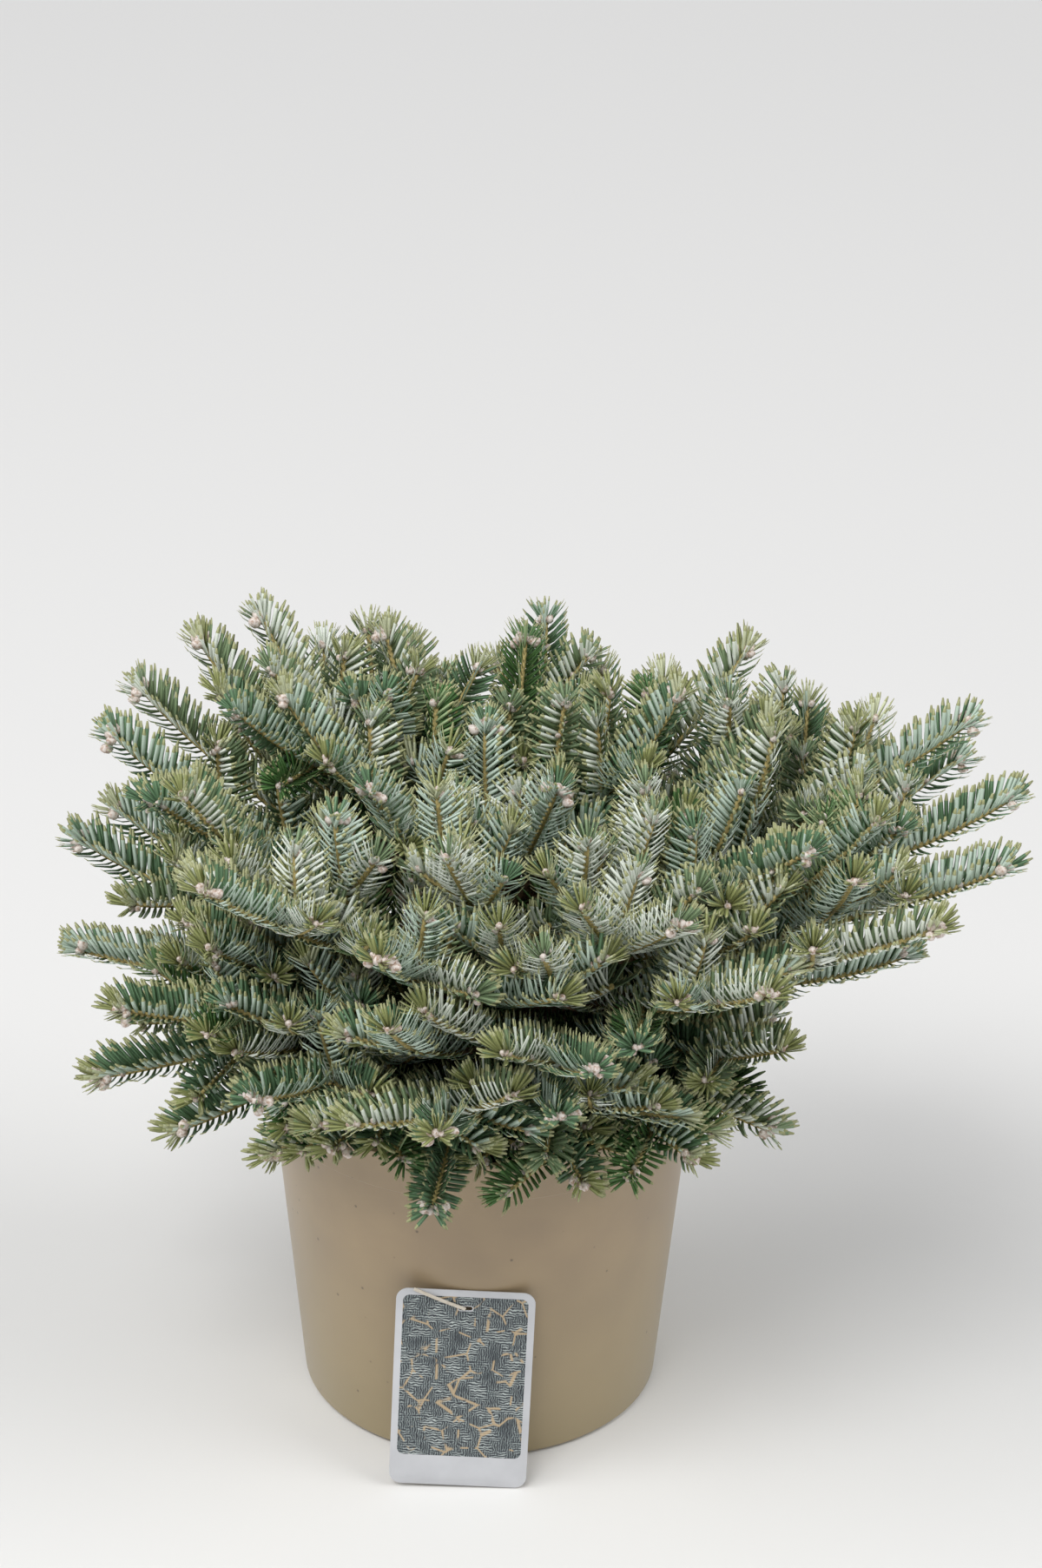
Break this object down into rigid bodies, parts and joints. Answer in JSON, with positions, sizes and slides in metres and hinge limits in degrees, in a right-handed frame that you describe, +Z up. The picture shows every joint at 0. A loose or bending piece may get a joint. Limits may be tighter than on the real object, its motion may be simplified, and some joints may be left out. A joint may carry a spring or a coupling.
{
  "type": "potted korean fir",
  "caption": "Young korean fir with low spreading boughs and upturned needles, in a round nursery pot with a plant label leaning on it.",
  "frame": {"origin": "middle of the pot's flat underside", "axes": "+Z up along the axis of the pot, -Y towards the fullest side of the crown and the label, +X to the right seen from there"},
  "size_m": [0.554, 0.4147, 0.4692],
  "materials": {
    "pot": "moulded taupe plastic, slightly satin, with fine darker specks",
    "soil": "dark crumbly potting compost",
    "label": null,
    "label_tie": "thin pale plastic strip",
    "bark": "thin tan to orange brown bark of young wood",
    "needles": "blue green needles with silver undersides"
  },
  "bodies": {
    "root": {"bough_high_left": "bark", "bough_high_left_front": "bark", "bough_high_left_upper": "bark", "bough_high_right": "bark", "bough_mid_front_inner": "bark", "bough_mid_front_right": "bark", "bough_mid_right": "bark", "bough_mid_right_back": "bark", "bough_mid_right_front": "bark", "foliage_high_back": "needles", "foliage_high_back_left": "needles", "foliage_high_front": "needles", "foliage_high_front_right": "needles", "foliage_high_left": "needles", "foliage_high_left_back": "needles", "foliage_high_left_front": "needles", "foliage_high_left_outer": "needles", "foliage_high_left_upper": "needles", "foliage_high_right": "needles", "foliage_high_right_back": "needles", "foliage_high_right_front": "needles", "foliage_low_back": "needles", "foliage_low_back_left": "needles", "foliage_low_back_right": "needles", "foliage_low_front": "needles", "foliage_low_front_inner": "needles", "foliage_low_front_left": "needles", "foliage_low_front_middle": "needles", "foliage_low_front_right": "needles", "foliage_low_left": "needles", "foliage_low_left_back": "needles", "foliage_low_left_front": "needles", "foliage_low_left_lower": "needles", "foliage_low_right": "needles", "foliage_low_right_front": "needles", "foliage_low_right_lower": "needles", "foliage_mid_back": "needles", "foliage_mid_back_right": "needles", "foliage_mid_front": "needles", "foliage_mid_front_inner": "needles", "foliage_mid_front_left": "needles", "foliage_mid_front_outer": "needles", "foliage_mid_front_right": "needles", "foliage_mid_left": "needles", "foliage_mid_left_back": "needles", "foliage_mid_left_front": "needles", "foliage_mid_left_inner": "needles", "foliage_mid_right": "needles", "foliage_mid_right_back": "needles", "foliage_mid_right_front": "needles", "foliage_top_front": "needles", "foliage_top_front_left": "needles", "foliage_top_left": "needles", "foliage_top_middle": "needles", "foliage_top_right": "needles", "label": "label", "label_tie": "label_tie", "pot": "pot", "soil": "soil", "trunk": "bark"}
  },
  "joints": []
}
